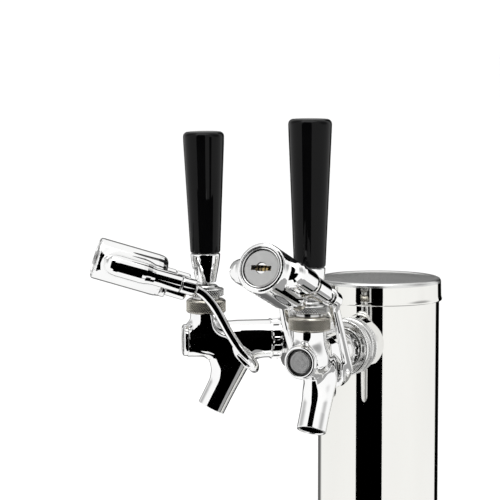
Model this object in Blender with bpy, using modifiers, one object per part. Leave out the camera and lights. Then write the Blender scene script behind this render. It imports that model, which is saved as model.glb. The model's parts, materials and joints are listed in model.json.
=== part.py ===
"""Two-faucet column beer tower with wrap-around faucet locks.

Metres, +Z up, origin at the centre of the bounding box's underside, front
towards -Y, with the column standing behind the origin at AXIS. Each faucet is
modelled in its own frame: X runs outwards along its shank, Z is up, and the
origin is where the shank's axis meets the column's axis. Sizes below are in
millimetres and degrees. In names, _R is a radius, and _X, _Y and _Z are places
in the part's own frame.
"""

import math
from collections import namedtuple

import bmesh
import bpy
from mathutils import Matrix, Vector

MM = 0.001
AXIS = (-0.403, 53.443, 0.0)
ALONG_X = (0, 90, 0)

# Column, cap and base
COLUMN_R = 38.1
COLUMN_BORE_R = COLUMN_R - 1.5
COLUMN_FOOT = 5.7
COLUMN_TOP = 326.6
CAP_TOP = 330.0
CAP_SKIRT = 14.0
CAP_R = 39.6
FLANGE_R = 58.7
FLANGE_BORE_R = 33.0
FLANGE_TOP = 16.0
FLANGE_INNER_R = 38.45
FLANGE_STEP = 5.3
GASKET_T = 2.0
SCREWS = 4
FIRST_SCREW_ANGLE = 45
SCREW_CIRCLE_R = 49.2
SCREW_HOLE_R = 2.9
SLEEVE_R = (31.7, 36.2)
SLEEVE_Z = (10, 256)
SHANK_Z = 292.5
HOLE_R = 11.5
FAUCET_ANGLE = 28.0

# Shank, escutcheon and coupling
SHANK_R = 11.1
SHANK_END = 56.4
SHANK_BORE_R = 3.2
TAIL_X = 22.0
TAIL_BORE_R = 2.2
LINE_R = (4.5, 6.0)
LINE_TOP = -16.4
LINE_FOOT_ABOVE_GROUND = 3.0
CLAMP_R = 7.0
CLAMP_Z = (-31, -24.5)
NUT_FLATS = 25.4
NUT_X = (26.8, 31.6)
WASHER_R = 14.6
WASHER_X = (31.9, 40)
ESCUTCHEON_R = 17.0
ESCUTCHEON_X = (30, 45.7)
COUPLING_R = 17.5
COUPLING_GROOVE = 0.8
COUPLING_X = (46.0, 61.4)
COUPLING_LIP_R = 9.95

# Faucet body
STEM_X = 110.0
COLLAR_R = 13.0
BARREL_R = 12.0
NOSE_R = 9.9
NOSE_SEAT_R = 10.7
BODY_FRONT = 117.5
CHAMBER_R = 8.2
BORE_R = 5.6
NECK_R = 9.9
NECK_TOP = 17.0
NECK_BORE_R = 7.25
SPOUT_R = 8.75
SPOUT_BORE_R = 7.0
SPOUT_TILT = 27.0
SPOUT_TIP = (107.0, 0, -43.0)
THROAT_X = 93.6
THROAT_R = 4.6
WEB_HALF_T = 5.2
LEVER_SLOT_HALF_T = 2.6

# Valve shaft
SHAFT_R = 2.6
SHAFT_HEAD_R = 5.2

# Lever and its seat; heights are above the shank's axis
PIVOT_Z = 27.5
BALL_R = 5.1
BALL_ANGLES = (62, 38, 12, -14, -40, -67)
LEVER_NECK_R = 2.3
LEVER_TIP_R = 1.9
LEVER_TOP = 72
THREAD_R = 4.6
THREAD_BORE_R = 4.9
FERRULE_Z = (36.35, 54.4)
HANDLE_FOOT = 54.8

# Lock, in its own frame
ARMS = {"a": -1, "b": 1}
ARM_Y = 16.3
ARM_R = 5.45
LOBE_R = 6.5
HEAD_R = 13.1
HEAD_REAR, HEAD_FRONT = 9.0, 53.4
LOCK_WEB = (8.6, 2 * ARM_Y, 25.4)
LOCK_WEB_Z = 31.3
LOCK_FIT = 0.35
PRONG_R = 3.0
PLUG_R = 10.4
BEZEL_R = (10.85, 11.6)
BEZEL_SEAT_R = 11.9
BEZEL_SEAT_Z = HEAD_FRONT - 2.5
KEYWAY = (2.9, 12.2, 14)
KEYWAY_Z = 48
KEYWAY_HUB_R = 3.4
STOP_R = 5.2
STOP_COLLAR_R = 6.9
STOP_DROP = 5.4
STOP_REAR = -7.2

# Bail
BOSS_R = 5.2
LEG_R = 2.8
LIP_R = 1.6
LEG_START = 5.5  # how far the leg starts behind the boss's front
SHOULDER_X = 118  # a leg starting beyond this needs two more bends

# Per side:
# turn        angle of the shank from -Y
# handle_top  top of the handle above the shank's axis
# lean        outward lean of the lever
# lock_tilt   upward tilt of the lock's axis
# arm_rear    (x, z) where the lock's axis meets the rear ends of its arms
# boss_back   how far behind these ends the bail's bosses stand
# stout       how many times stouter than the plain sizes the lock's outside is
SIDES = {
    "left": dict(
        turn=-FAUCET_ANGLE, handle_top=130.0, lean=0.8,
        lock_tilt=17.0, arm_rear=(127.9, 37.2), boss_back=0.4, stout=1.0,
    ),
    "right": dict(
        turn=FAUCET_ANGLE, handle_top=141.0, lean=0.0,
        lock_tilt=20.3, arm_rear=(129.0, 42.5), boss_back=10.6, stout=1.12,
    ),
}

Look = namedtuple("Look", "colour roughness metallic")
CHROME = Look(colour=(0.83, 0.83, 0.83), roughness=0.06, metallic=1.0)
POLISHED = Look(colour=(0.80, 0.80, 0.79), roughness=0.10, metallic=1.0)
KNURL = Look(colour=(0.62, 0.61, 0.58), roughness=0.30, metallic=1.0)
NICKEL = Look(colour=(0.60, 0.58, 0.52), roughness=0.32, metallic=1.0)
SATIN = Look(colour=(0.55, 0.55, 0.55), roughness=0.38, metallic=1.0)
STEEL = Look(colour=(0.56, 0.56, 0.56), roughness=0.30, metallic=1.0)
BRASS = Look(colour=(0.70, 0.55, 0.30), roughness=0.30, metallic=1.0)
BLACK = Look(colour=(0.010, 0.010, 0.011), roughness=0.12, metallic=0.0)
RUBBER = Look(colour=(0.020, 0.020, 0.020), roughness=0.70, metallic=0.0)
NYLON = Look(colour=(0.80, 0.80, 0.78), roughness=0.45, metallic=0.0)
VINYL = Look(colour=(0.78, 0.80, 0.80), roughness=0.25, metallic=0.0)
FOAM = Look(colour=(0.10, 0.10, 0.11), roughness=0.90, metallic=0.0)


# Scene and placing

def clear():
    for obj in list(bpy.data.objects):
        bpy.data.objects.remove(obj, do_unlink=True)
    for group in list(bpy.data.collections):
        bpy.data.collections.remove(group)


def collection(name):
    made = bpy.data.collections.new(name)
    bpy.context.scene.collection.children.link(made)
    return made


def pose(obj, parent, at, turn):
    obj.parent = parent
    obj.location = Vector(at) * MM
    obj.rotation_euler = [math.radians(angle) for angle in turn]
    return obj


def empty(name, parent, at, turn=(0, 0, 0)):
    made = bpy.data.objects.new(name, None)
    made.empty_display_size = 0.01
    PARTS.objects.link(made)
    return pose(made, parent, at, turn)


clear()
PARTS = collection("beer_tap_tower")
CUTTERS = collection("cutters")
CUTTERS.hide_render = True
COLUMN_AXIS = empty("column_axis", None, AXIS)


def add_material(obj, look):
    material = bpy.data.materials.new(obj.name)
    material.use_nodes = True
    shader = material.node_tree.nodes["Principled BSDF"]
    shader.inputs["Base Color"].default_value = (*look.colour, 1.0)
    shader.inputs["Roughness"].default_value = look.roughness
    shader.inputs["Metallic"].default_value = look.metallic
    obj.data.materials.append(material)


def place(name, mesh, parent=COLUMN_AXIS, at=(0, 0, 0), turn=(0, 0, 0), look=None):
    """A part at a place in mm under its parent, or a hidden boolean helper if it has no look."""
    obj = bpy.data.objects.new(name, mesh)
    if look:
        PARTS.objects.link(obj)
        add_material(obj, look)
        mesh.shade_smooth()
        mesh.set_sharp_from_angle(angle=math.radians(35))
    else:
        CUTTERS.objects.link(obj)
        obj.hide_render = True
        obj.display_type = "WIRE"
    return pose(obj, parent, at, turn)


# Shapes; their extra arguments, **where, are those of place()

def turned(name, profile, steps=24, **where):
    """A solid of revolution about its Z.

    The profile is (radius, height), down the outer side; one that stays off
    the axis is closed into a ring.
    """
    mesh = bpy.data.meshes.new(name)
    points = [(radius * MM, 0.0, height * MM) for radius, height in profile]
    edges = [(i, i + 1) for i in range(len(points) - 1)]
    if profile[0][0] > 0:
        edges.append((len(points) - 1, 0))
    mesh.from_pydata(points, edges, [])
    obj = place(name, mesh, **where)
    screw = obj.modifiers.new("Screw", "SCREW")
    screw.axis = "Z"
    screw.steps = screw.render_steps = steps
    screw.use_merge_vertices = True
    screw.merge_threshold = 0.00001
    screw.use_smooth_shade = True
    return obj


def ring(name, inner, outer, low, high, chamfer=0.0, **where):
    """A washer or sleeve between two radii and two heights, its outer edges chamfered."""
    if chamfer:
        outside = [
            (outer - chamfer, high), (outer, high - chamfer),
            (outer, low + chamfer), (outer - chamfer, low),
        ]
    else:
        outside = [(outer, high), (outer, low)]
    return turned(name, outside + [(inner, low), (inner, high)], **where)


def rod(name, radius, low, high, **where):
    return turned(name, [(0, high), (radius, high), (radius, low), (0, low)], **where)


def place_form(name, form, **where):
    mesh = bpy.data.meshes.new(name)
    form.to_mesh(mesh)
    form.free()
    return place(name, mesh, **where)


def hexagon(name, across_flats, low, high, **where):
    form = bmesh.new()
    radius = across_flats / math.sqrt(3) * MM
    bmesh.ops.create_cone(
        form, cap_ends=True, segments=6, radius1=radius, radius2=radius, depth=(high - low) * MM
    )
    quarter_flat = Matrix.Rotation(math.radians(30), 3, "Z")
    bmesh.ops.rotate(form, verts=form.verts, cent=(0, 0, 0), matrix=quarter_flat)
    bmesh.ops.translate(form, verts=form.verts, vec=(0, 0, (high + low) / 2 * MM))
    return place_form(name, form, **where)


def box(name, size, **where):
    form = bmesh.new()
    bmesh.ops.create_cube(form, size=1.0)
    bmesh.ops.scale(form, verts=form.verts, vec=Vector(size) * MM)
    return place_form(name, form, **where)


def add_line(curve, points):
    """A straight-sided spline through points in mm."""
    spline = curve.splines.new("POLY")
    spline.points.add(len(points) - 1)
    for point, at in zip(spline.points, points):
        point.co = (*(Vector(at) * MM), 1.0)
    return spline


def as_mesh(curve, lift=0.0):
    """The mesh of a curve's evaluated shape, lifted in Z, with its caps welded on."""
    carrier = bpy.data.objects.new(curve.name, curve)
    carrier.location.z = lift * MM
    CUTTERS.objects.link(carrier)
    bpy.context.view_layer.update()
    graph = bpy.context.evaluated_depsgraph_get()
    mesh = bpy.data.meshes.new_from_object(carrier.evaluated_get(graph))
    mesh.transform(carrier.matrix_world)
    form = bmesh.new()
    form.from_mesh(mesh)
    bmesh.ops.remove_doubles(form, verts=form.verts, dist=0.00001)
    bmesh.ops.recalc_face_normals(form, faces=form.faces)
    form.to_mesh(mesh)
    form.free()
    bpy.data.objects.remove(carrier, do_unlink=True)
    return mesh


def bent_rod(name, points, radius, resolution=2, **where):
    """A round bar through points in mm."""
    curve = bpy.data.curves.new(name, "CURVE")
    curve.dimensions = "3D"
    curve.bevel_depth = radius * MM
    curve.bevel_resolution = resolution
    curve.use_fill_caps = True
    add_line(curve, points)
    return place(name, as_mesh(curve), **where)


def upright_slab(name, outline, half_thickness, parent):
    """A flat outline in the parent's X and Z, centred on its Y."""
    curve = bpy.data.curves.new(name, "CURVE")
    curve.dimensions = "2D"
    curve.fill_mode = "BOTH"
    curve.extrude = half_thickness * MM
    add_line(curve, [(x, z, 0) for x, z in outline]).use_cyclic_u = True
    return place(name, as_mesh(curve), parent=parent, turn=(90, 0, 0))


def boolean(obj, operation, *others):
    for other in others:
        step = obj.modifiers.new(operation.title(), "BOOLEAN")
        step.operation = operation
        step.object = other
        step.solver = "EXACT"


def cut(obj, *cutters):
    boolean(obj, "DIFFERENCE", *cutters)


def join(obj, *pieces):
    boolean(obj, "UNION", *pieces)


# Tower

def build_column():
    column = ring(
        "tower_column", COLUMN_BORE_R, COLUMN_R, COLUMN_FOOT, COLUMN_TOP, steps=40, look=POLISHED
    )
    for side, setup in SIDES.items():
        where = dict(at=(0, 0, SHANK_Z), turn=(0, 90, setup["turn"] - 90))
        cut(column, rod(f"column_hole_{side}", HOLE_R, 20, 60, **where))
    ring("insulation_sleeve", *SLEEVE_R, *SLEEVE_Z, steps=20, look=FOAM)


def build_cap():
    low = CAP_TOP - CAP_SKIRT
    profile = [
        (0, CAP_TOP - 1.3), (33.5, CAP_TOP - 1.0), (35.4, CAP_TOP), (37.4, CAP_TOP),
        (38.8, CAP_TOP - 0.8), (39.2, CAP_TOP - 2.4), (39.4, low + 1.6),
        (CAP_R + 0.3, low + 0.9), (CAP_R + 0.1, low), (38.5, low),
        (38.5, CAP_TOP - 2.9), (0, CAP_TOP - 2.9),
    ]
    turned("tower_cap", profile, steps=36, look=POLISHED)


def build_flange():
    profile = [
        (39.9, FLANGE_TOP), (40.6, 15.2), (41.2, 9.0), (43.4, 6.6), (46.0, 5.9),
        (FLANGE_R - 1.6, FLANGE_STEP), (FLANGE_R, 4.0), (FLANGE_R, GASKET_T + 0.3),
        (FLANGE_BORE_R, GASKET_T + 0.3), (FLANGE_BORE_R, FLANGE_STEP),
        (FLANGE_INNER_R, FLANGE_STEP), (FLANGE_INNER_R, FLANGE_TOP),
    ]
    return turned("base_flange", profile, steps=32, look=POLISHED)


def build_base():
    gasket = ring(
        "base_gasket", FLANGE_BORE_R + 0.5, FLANGE_R - 0.6, 0, GASKET_T, steps=28, look=RUBBER
    )
    flange = build_flange()
    screw = [(0, 9.4), (2.6, 9.2), (4.3, 8.0), (4.7, 6.4), (2.5, 6.4), (2.5, 0.6), (0, 0.6)]
    for n in range(SCREWS):
        angle = math.radians(FIRST_SCREW_ANGLE + 360 / SCREWS * n)
        at = (SCREW_CIRCLE_R * math.cos(angle), SCREW_CIRCLE_R * math.sin(angle), 0)
        hole = rod(f"flange_screw_hole_{n + 1}", SCREW_HOLE_R, -2, 12, steps=10, at=at)
        cut(flange, hole)
        cut(gasket, hole)
        turned(f"flange_screw_{n + 1}", screw, steps=10, at=at, look=STEEL)


# Shank and what sits on it

def build_shank(side, on_shank, on_tail):
    """Elbow shank: threaded barrel outwards, barbed tail down."""
    barrel = [
        (0, SHANK_END), (SHANK_R - 0.5, SHANK_END), (SHANK_R, SHANK_END - 0.6), (SHANK_R, 26.4),
        (7.6, 26.2), (7.6, 18.4), (6.8, 17.6), (0, 17.6),
    ]
    barbs = [
        (0, 0), (4.4, 0), (4.4, -15.5), (3.5, -16), (3.5, -19), (4.2, -22),
        (3.4, -27.5), (4.2, -33), (3.2, -36), (0, -36),
    ]
    shank = turned(f"{side}_shank", barrel, look=CHROME, steps=20, **on_shank)
    join(shank, turned(f"{side}_shank_tail", barbs, steps=12, **on_tail))
    cut(
        shank,
        rod(f"{side}_shank_bore", SHANK_BORE_R, 21, 60, steps=10, **on_shank),
        rod(f"{side}_tail_bore", TAIL_BORE_R, -40, 0.5, steps=8, **on_tail),
    )


def build_beer_line(side, on_tail):
    foot = LINE_FOOT_ABOVE_GROUND - SHANK_Z
    ring(f"{side}_beer_line", *LINE_R, foot, LINE_TOP, steps=12, look=VINYL, **on_tail)
    inner = LINE_R[1] + 0.25
    ring(f"{side}_hose_clamp", inner, CLAMP_R, *CLAMP_Z, steps=14, look=STEEL, **on_tail)


def build_shank_fixings(side, frame, on_shank):
    """Nut, washer and escutcheon, the last two curved to the column's wall."""
    nut = hexagon(f"{side}_shank_nut", NUT_FLATS, *NUT_X, look=BRASS, **on_shank)
    cut(nut, rod(f"{side}_shank_nut_bore", SHANK_R + 0.25, 20, 40, **on_shank))

    washer = ring(
        f"{side}_shank_washer", SHANK_R + 0.3, WASHER_R, *WASHER_X, look=NYLON, **on_shank
    )
    upright = dict(steps=40, parent=frame)
    fit = rod(f"{side}_shank_washer_fit", COLUMN_BORE_R - 0.25, -30, 30, **upright)
    boolean(washer, "INTERSECT", fit)

    escutcheon = ring(
        f"{side}_escutcheon", SHANK_R + 0.4, ESCUTCHEON_R, *ESCUTCHEON_X,
        chamfer=0.6, look=CHROME, **on_shank,
    )
    cut(escutcheon, rod(f"{side}_escutcheon_saddle", COLUMN_R + 0.3, -30, 30, **upright))


def build_coupling(side, on_shank):
    low, high = COUPLING_X
    groove_r = COUPLING_R - COUPLING_GROOVE
    profile = [
        (COUPLING_R - 1.2, high), (COUPLING_R, high - 1.0), (COUPLING_R, 55.2), (groove_r, 54.7),
        (groove_r, 52.9), (COUPLING_R, 52.4), (COUPLING_R, low + 1.0), (COUPLING_R - 1.0, low),
        (SHANK_R + 0.5, low), (SHANK_R + 0.5, high - 0.9),
        (COUPLING_LIP_R, high - 0.9), (COUPLING_LIP_R, high),
    ]
    turned(f"{side}_coupling_nut", profile, look=KNURL, **on_shank)
    ring(
        f"{side}_coupling_gasket", 4.2, 10.8, SHANK_END + 0.3, SHANK_END + 1.9,
        look=RUBBER, steps=20, **on_shank,
    )


# Faucet body

def build_body(side, frame, on_shank, on_stem):
    barrel = [
        (0, BODY_FRONT), (NOSE_R - 0.4, BODY_FRONT), (NOSE_R, BODY_FRONT - 0.8),
        (NOSE_R + 0.2, 112), (11.2, 100), (BARREL_R, 90), (BARREL_R, 69.8), (COLLAR_R, 69.2),
        (COLLAR_R, 64.0), (COLLAR_R - 0.7, 63.3), (9.65, 63.3), (9.65, 60.2), (11.2, 60.2),
        (11.2, 58.7), (0, 58.7),
    ]
    neck = [
        (0, 23.6), (8.7, 23.6), (8.7, NECK_TOP), (NECK_R, NECK_TOP), (NECK_R, 9),
        (NECK_R + 0.3, 3.3), (8.3, -2.7), (0, -2.7),
    ]
    spout = [
        (0, 44), (11.3, 44), (10.9, 38), (9.9, 30), (9.1, 22), (SPOUT_R, 12), (SPOUT_R, 0), (0, 0),
    ]
    # (x, z) of the web in front of the spout's root
    web = [
        (92.3, -6.4), (111.2, -6.2), (111.4, -8.7), (106, -10.7), (101.5, -14.7),
        (99.4, -20.3), (94.1, -20.5),
    ]
    on_spout = dict(parent=frame, at=SPOUT_TIP, turn=(0, -SPOUT_TILT, 0))
    body = turned(f"{side}_faucet_body", barrel, look=CHROME, steps=28, **on_shank)
    join(
        body,
        turned(f"{side}_body_neck", neck, **on_stem),
        turned(f"{side}_body_spout", spout, **on_spout),
        upright_slab(f"{side}_body_web", web, WEB_HALF_T, frame),
    )
    cut_body(body, side, frame, on_shank, on_stem, on_spout)


def cut_body(body, side, frame, on_shank, on_stem, on_spout):
    bore = [
        (0, 118), (8.0, 118), (8.0, 115), (BORE_R, 115), (BORE_R, 84.5), (CHAMBER_R, 82),
        (CHAMBER_R, 58), (0, 58),
    ]
    # (x, z) of the slot the lever's lower end swings in
    sweep = [(113.2, 18), (113.2, -1), (97.6, -1), (97.6, 3.4), (102.3, 16.4), (104.5, 18)]
    in_throat = dict(parent=frame, at=(THROAT_X, 0, 0))
    cut(
        body,
        turned(f"{side}_body_bore", bore, steps=20, **on_shank),
        rod(f"{side}_nose_seat", NOSE_SEAT_R, BODY_FRONT, 132, **on_shank),
        rod(f"{side}_neck_bore", NECK_BORE_R, 3, 24, steps=20, **on_stem),
        rod(f"{side}_spout_bore", SPOUT_BORE_R, -1, 29, steps=20, **on_spout),
        rod(f"{side}_spout_throat", THROAT_R, -21, -1, steps=12, **in_throat),
        upright_slab(f"{side}_lever_sweep", sweep, LEVER_SLOT_HALF_T, frame),
    )


def build_nose_plug(side, on_shank):
    profile = [
        (0, 124.4), (6.3, 124.4), (6.5, 123.9), (8.0, 123.9), (8.3, 124.8), (9.0, 124.6),
        (9.8, 122.6), (10.1, 120.6), (9.5, 117.8), (7.7, 117.8), (7.7, 115.4), (0, 115.4),
    ]
    turned(f"{side}_nose_plug", profile, look=CHROME, steps=20, **on_shank)


def build_lever_seat(side, on_stem):
    """Bonnet nut, compression ring and washer around the lever's ball."""
    bonnet = [
        (10.6, 26.0), (12.0, 24.8), (12.35, 24.2), (12.35, 18.2), (11.6, NECK_TOP + 0.3),
        (9.05, NECK_TOP + 0.3), (9.05, 24.2), (8.6, 24.4), (8.6, 26.0),
    ]
    turned(f"{side}_bonnet_nut", bonnet, steps=20, look=NICKEL, **on_stem)
    compression = [
        (6.4, 34.7), (7.4, 33.5), (9.3, 32.6), (10.6, 32.5), (11.0, 32.0), (11.0, 28.2),
        (10.5, 27.8), (8.3, 27.8), (8.3, 24.8), (5.5, 24.8), (5.5, 28.6), (4.95, 29.5),
        (4.95, 31.6), (5.35, 34.7),
    ]
    turned(f"{side}_compression_ring", compression, steps=20, look=KNURL, **on_stem)
    ring(f"{side}_ball_washer", 4.5, 7.0, 21.0, 24.1, steps=14, look=NYLON, **on_stem)


def build_valve(side, frame):
    axis = empty(f"{side}_shaft_axis", frame, (0, 0, 0))
    profile = [
        (0, 114.6), (4.8, 114.6), (SHAFT_HEAD_R, 114.2), (SHAFT_HEAD_R, 98.0), (SHAFT_R, 95.5),
        (SHAFT_R, 82.6), (5.4, 82.6), (5.4, 82.2), (SHAFT_R, 82.2), (SHAFT_R, 78.7),
        (5.0, 78.7), (5.0, 76.0), (0, 76.0),
    ]
    washer = [(6.6, 81.9), (7.2, 81.2), (7.2, 79.0), (2.9, 79.0), (2.9, 81.9)]
    where = dict(steps=14, parent=axis, turn=ALONG_X)
    shaft = turned(f"{side}_shaft", profile, look=STEEL, **where)
    cut(shaft, box(f"{side}_shaft_slot", (6.4, 4.6, 12), at=(STEM_X, 0, 4.0), parent=axis))
    turned(f"{side}_seat_washer", washer, look=RUBBER, **where)


# Lever

def from_pivot(profile):
    """Heights above the shank's axis turned into heights above the lever's pivot."""
    return [(radius, height - PIVOT_Z) for radius, height in profile]


def build_lever(side, frame, setup):
    axis = empty(f"{side}_lever_axis", frame, (STEM_X, 0, PIVOT_Z), (0, setup["lean"], 0))

    thread = [
        (0, LEVER_TOP), (THREAD_R - 0.6, LEVER_TOP), (THREAD_R, LEVER_TOP - 0.8),
        (THREAD_R, 38.4), (LEVER_NECK_R, 36.6),
    ]
    ball = [
        (BALL_R * math.cos(math.radians(angle)), BALL_R * math.sin(math.radians(angle)))
        for angle in BALL_ANGLES
    ]
    ball_foot = [(LEVER_TIP_R, -7.0)]
    tip = [(LEVER_TIP_R, 1.0), (1.2, 0.2), (0, 0.2)]
    profile = from_pivot(thread) + ball + ball_foot + from_pivot(tip)
    turned(f"{side}_lever", profile, steps=14, parent=axis, look=STEEL)

    low, high = FERRULE_Z
    ferrule = [
        (8.5, high), (9.2, high - 0.7), (9.1, 52), (8.3, 46), (7.2, 40.5), (6.5, 37.6),
        (6.6, low), (THREAD_BORE_R, low), (THREAD_BORE_R, high),
    ]
    turned(f"{side}_ferrule", from_pivot(ferrule), steps=20, parent=axis, look=CHROME)

    low, high = HANDLE_FOOT, setup["handle_top"]
    handle = [
        (0, high), (10.6, high), (11.9, high - 0.5), (12.75, high - 2.0), (12.6, high - 8),
        (9.35, low + 1.0), (9.0, low), (THREAD_BORE_R, low), (THREAD_BORE_R, 73), (0, 74.5),
    ]
    turned(f"{side}_handle", from_pivot(handle), steps=20, parent=axis, look=BLACK)


# Lock

def stouter(profile, stout):
    return [(radius * stout, height) for radius, height in profile]


def build_lock_head(side, axis, stout):
    shell = [
        (0, HEAD_FRONT), (11.9, HEAD_FRONT), (12.7, HEAD_FRONT - 0.6),
        (HEAD_R, HEAD_FRONT - 1.9), (HEAD_R, HEAD_REAR + 4.5), (12.4, HEAD_REAR + 1.8),
        (10.8, HEAD_REAR), (0, HEAD_REAR),
    ]
    lobe = [
        (0, 48.6), (3.8, 47.5), (5.9, 45.0), (LOBE_R, 41.5), (LOBE_R, 23), (ARM_R, 17.5),
        (ARM_R, 0.7),
    ]
    lobe = stouter(lobe, stout) + [(ARM_R * stout - 0.7, 0), (0, 0)]
    collar = [(0, 15.2), (STOP_COLLAR_R, 15.2), (STOP_COLLAR_R, 6.6), (6.3, 5.7), (0, 5.7)]
    at_stop = dict(steps=14, parent=axis, at=(STOP_DROP, 0, 0))

    head = turned(f"{side}_lock_head", stouter(shell, stout), parent=axis, look=CHROME)
    depth, width, length = LOCK_WEB
    web_size = (depth * stout, width, length)
    join(head, box(f"{side}_lock_web", web_size, at=(0, 0, LOCK_WEB_Z), parent=axis))
    for tag, sign in ARMS.items():
        at = (0, sign * ARM_Y, 0)
        join(head, turned(f"{side}_lock_lobe_{tag}", lobe, steps=14, parent=axis, at=at))
    join(head, turned(f"{side}_lock_stop_collar", collar, **at_stop))
    for tag, sign in ARMS.items():
        where = dict(steps=12, parent=axis, at=(0, sign * ARM_Y, 0))
        cut(head, rod(f"{side}_lock_sleeve_bore_{tag}", PRONG_R + LOCK_FIT, -2, 24, **where))
    cut(
        head,
        rod(f"{side}_lock_plug_bore", PLUG_R + LOCK_FIT, 25, 60, parent=axis),
        rod(f"{side}_lock_bezel_seat", BEZEL_SEAT_R, BEZEL_SEAT_Z, 60, parent=axis),
        rod(f"{side}_lock_stop_socket", STOP_R + LOCK_FIT, 4, 19, **at_stop),
    )


def build_lock_plug(side, axis):
    """The keyed plug in the head and the bezel around it."""
    ring(
        f"{side}_lock_bezel", *BEZEL_R, BEZEL_SEAT_Z + 0.3, HEAD_FRONT,
        chamfer=0.3, parent=axis, look=SATIN,
    )
    turn_axis = empty(f"{side}_lock_plug_axis", axis, (0, 0, 0))
    profile = [
        (0, 52.3), (PLUG_R - 0.5, 52.3), (PLUG_R, 51.8), (PLUG_R, 29), (6, 29), (6, 26), (0, 26),
    ]
    plug = turned(f"{side}_lock_plug", profile, steps=20, parent=turn_axis, look=SATIN)
    cut(
        plug,
        box(f"{side}_lock_keyway", KEYWAY, at=(0, 0, KEYWAY_Z), parent=turn_axis),
        rod(f"{side}_lock_keyway_hub", KEYWAY_HUB_R, 39.5, 55, steps=14, parent=turn_axis),
    )


def build_lock_stop(side, axis):
    profile = [
        (0, 18.4), (STOP_R, 18.4), (STOP_R, STOP_REAR + 1.5), (3.7, STOP_REAR), (0, STOP_REAR),
    ]
    where = dict(parent=axis, at=(STOP_DROP, 0, 0))
    turned(f"{side}_lock_stop", profile, steps=14, look=CHROME, **where)


def build_lock(side, frame, setup):
    """Its frame: Z runs outwards along its axis from the arms' rear, X is down, Y across."""
    x, z = setup["arm_rear"]
    axis = empty(f"{side}_lock_axis", frame, (x, 0, z), (0, 90 - setup["lock_tilt"], 0))
    build_lock_head(side, axis, setup["stout"])
    build_lock_plug(side, axis)
    build_lock_stop(side, axis)


# Bail: two prongs up the lock's arms, a boss behind each, and one bent bar
# behind the spout with a lip each side

def bail_path(start):
    """Down one side of the body, round behind the spout and up the other side."""
    # (x, y, z) down the +Y leg
    leg = [(start.x, ARM_Y, start.z)]
    if start.x > SHOULDER_X:
        leg += [(115.5, 16.4, 32.0), (110.6, 16.6, 27.2)]
    leg += [
        (106.0, 16.8, 20.8), (98.6, 16.7, 7.4), (91.6, 16.2, -3.4), (87.2, 15.2, -8.2),
        (83.8, 12.6, -11.6), (81.2, 9.6, -15.0), (80.2, 5.2, -17.8),
    ]
    mirrored = [(x, -y, z) for x, y, z in reversed(leg)]
    return leg + [(79.7, 0, -18.8)] + mirrored


def build_bail(side, frame, setup):
    tilt = math.radians(setup["lock_tilt"])
    along = Vector((math.cos(tilt), 0, math.sin(tilt)))
    x, z = setup["arm_rear"]
    rear = Vector((x, 0, z))
    back = setup["boss_back"]
    path = bail_path(rear - along * (back + LEG_START))
    bail = bent_rod(f"{side}_lock_bail", path, LEG_R, parent=frame, look=CHROME)

    axis = empty(f"{side}_bail_axis", frame, rear, (0, 90 - setup["lock_tilt"], 0))
    # Prong, then boss
    boss = [
        (0, 20), (PRONG_R - 0.7, 20), (PRONG_R, 19.2), (PRONG_R, -back),
        (BOSS_R - 0.6, -back), (BOSS_R, -back - 0.6), (BOSS_R, -back - 8.4),
        (BOSS_R - 0.7, -back - 9.2), (0, -back - 9.2),
    ]
    # (x, y, z) down the +Y lip
    lip = [(94.0, 14.4, -3.6), (92.2, 13.6, -8.2), (87.0, 11.4, -14.4), (82.4, 8.2, -17.4)]
    for tag, sign in ARMS.items():
        at = (0, sign * ARM_Y, 0)
        points = [(x, sign * y, z) for x, y, z in lip]
        join(
            bail,
            turned(f"{side}_bail_boss_{tag}", boss, steps=14, parent=axis, at=at),
            bent_rod(f"{side}_bail_lip_{tag}", points, LIP_R, resolution=1, parent=frame),
        )


def build_faucet(side, setup):
    frame = empty(
        f"{side}_faucet_frame", COLUMN_AXIS, (0, 0, SHANK_Z), (0, 0, setup["turn"] - 90)
    )
    on_shank = dict(parent=frame, turn=ALONG_X)
    on_tail = dict(parent=frame, at=(TAIL_X, 0, 0))
    on_stem = dict(parent=frame, at=(STEM_X, 0, 0))
    build_shank(side, on_shank, on_tail)
    build_beer_line(side, on_tail)
    build_shank_fixings(side, frame, on_shank)
    build_coupling(side, on_shank)
    build_body(side, frame, on_shank, on_stem)
    build_nose_plug(side, on_shank)
    build_lever_seat(side, on_stem)
    build_valve(side, frame)
    build_lever(side, frame, setup)
    build_lock(side, frame, setup)
    build_bail(side, frame, setup)


build_column()
build_cap()
build_base()
for side_name, side_setup in SIDES.items():
    build_faucet(side_name, side_setup)
bpy.context.view_layer.update()
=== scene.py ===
"""A beer tap tower: a chromed column with two faucets, each with a lever and a key lock.

The column stands upright on the counter. Lengths in the profiles are in
millimetres, in each faucet's own frame: X runs outwards along the shank, Y
across and Z up, with the origin where the shank's axis meets the column's axis.
Turned pieces are swept profiles, knurls are real geometry, and the cast pieces
are smooth blends of distance fields.
"""

import json
import math

import bpy
import numpy as np
from mathutils import Matrix, Vector


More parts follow.
